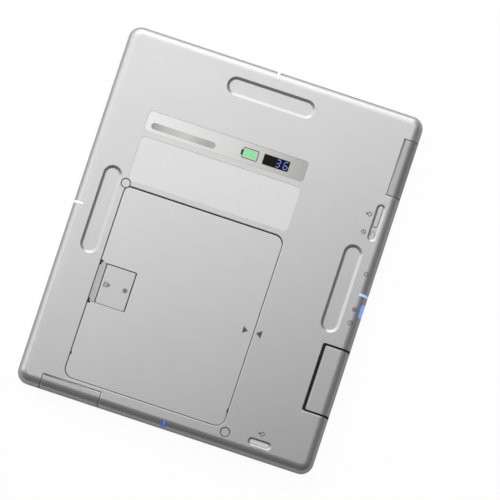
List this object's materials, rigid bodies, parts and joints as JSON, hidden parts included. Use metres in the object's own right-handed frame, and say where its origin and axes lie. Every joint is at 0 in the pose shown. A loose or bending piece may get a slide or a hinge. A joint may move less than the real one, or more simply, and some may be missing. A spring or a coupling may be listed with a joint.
{
  "type": "flat panel x-ray detector",
  "caption": "Thin rectangular wireless x-ray detector panel with a rounded back edge, finger grips, display strip, latched battery pack and a hinged connector cover.",
  "frame": {"origin": "centre of the imaging face, which the panel lies on", "axes": "+Z from the imaging face to the back face, +Y along the long side towards the display, +X towards the power button and connector"},
  "size_m": [0.268, 0.328, 0.015],
  "materials": {
    "silver_paint": "satin",
    "grey_window_plastic": "satin",
    "silver_window_plastic": "satin",
    "carbon_plate": "satin",
    "adhesive": "matte",
    "foam": "matte",
    "sensor_glass": "gloss",
    "scintillator": "matte",
    "bare_metal": "satin",
    "steel": "satin",
    "brass": "satin",
    "gold_contact": "gloss",
    "green_board": "satin",
    "black_chip": "matte",
    "amber_flex": "satin",
    "black_plastic": "matte",
    "dark_plastic": "matte",
    "pack_silver": "satin",
    "cell_pouch": "satin",
    "latch_silver": "satin",
    "latch_grey": "satin",
    "knob_grey": "satin",
    "cover_silver": "satin",
    "seal_rubber": "matte",
    "film": "satin",
    "label_film": "satin",
    "display_black": "gloss",
    "light_green": "gloss",
    "light_blue": "gloss",
    "light_white": "gloss",
    "light_off": "satin",
    "infrared_plastic": "satin",
    "cap_grey": "satin"
  },
  "bodies": {
    "panel": {"rear_casing": "silver_paint", "front_plate": "carbon_plate", "front_tape": "adhesive", "sensor_pad": "foam", "sensor_glass": "sensor_glass", "scintillator": "scintillator", "base_plate": "bare_metal", "base_screws": "steel", "gate_flexes": "amber_flex", "readout_flexes": "amber_flex", "board_standoffs": "brass", "board_chips": "black_chip", "wireless_module": "bare_metal", "board_links": "amber_flex", "main_board": "green_board", "power_board": "green_board", "gate_board": "green_board", "readout_board": "green_board", "battery_bay": "black_plastic", "bay_contacts": "gold_contact", "mode_switch": "black_plastic", "connector_hinge_pin": "steel", "connector_bay": "black_plastic", "cable_receptacle": "dark_plastic", "receptacle_contacts": "gold_contact", "side_board": "green_board", "power_switch": "black_plastic", "antenna_window_side": "grey_window_plastic", "antenna_window_end": "silver_window_plastic", "status_light": "light_blue", "error_light": "light_off", "antenna_boards": "green_board", "light_boards": "green_board", "display_panel": "film", "display_lens": "display_black", "battery_level_lights": "light_green", "display_module": "green_board", "memo_label": "label_film", "infrared_window": "infrared_plastic", "infrared_module": "dark_plastic", "round_caps": "cap_grey", "centre_light_top": "light_white", "centre_light_bottom": "light_blue", "centre_light_left": "light_white", "centre_light_right": "light_blue"},
    "battery_pack": {"battery_cover": "pack_silver", "battery_tray": "dark_plastic", "battery_cells": "cell_pouch", "battery_board": "green_board", "battery_terminals": "gold_contact", "latch_springs": "steel"},
    "latch": {"latch_plate": "latch_silver", "latch_grip": "latch_grey"},
    "mode_knob": {"switch_slider": "knob_grey", "switch_carrier": "black_plastic"},
    "connector_door": {"connector_cover": "cover_silver", "connector_cover_frame": "seal_rubber"},
    "power_key": {"power_button": "knob_grey"}
  },
  "joints": [
    {"name": "battery_tilt", "type": "hinge", "parent": "panel", "child": "battery_pack", "pos_m": [0.049, 0, 0.015], "axis": [0, 1, 0], "range_deg": [0, 40]},
    {"name": "latch_slide", "type": "slide", "parent": "battery_pack", "child": "latch", "axis": [1, 0, 0], "range_m": [0, 0.0035], "stiffness_N_per_m": 300, "springref_m": -0.004, "deforming": ["latch_springs"]},
    {"name": "mode_slide", "type": "slide", "parent": "panel", "child": "mode_knob", "axis": [0, -1, 0], "range_m": [0, 0.0115]},
    {"name": "connector_open", "type": "hinge", "parent": "panel", "child": "connector_door", "pos_m": [0.1103, 0, 0.014], "axis": [0, -1, 0], "range_deg": [0, 90]},
    {"name": "power_press", "type": "slide", "parent": "panel", "child": "power_key", "axis": [-1, 0, 0], "range_m": [0, 0.0008], "stiffness_N_per_m": 800, "springref_m": -0.0005}
  ]
}
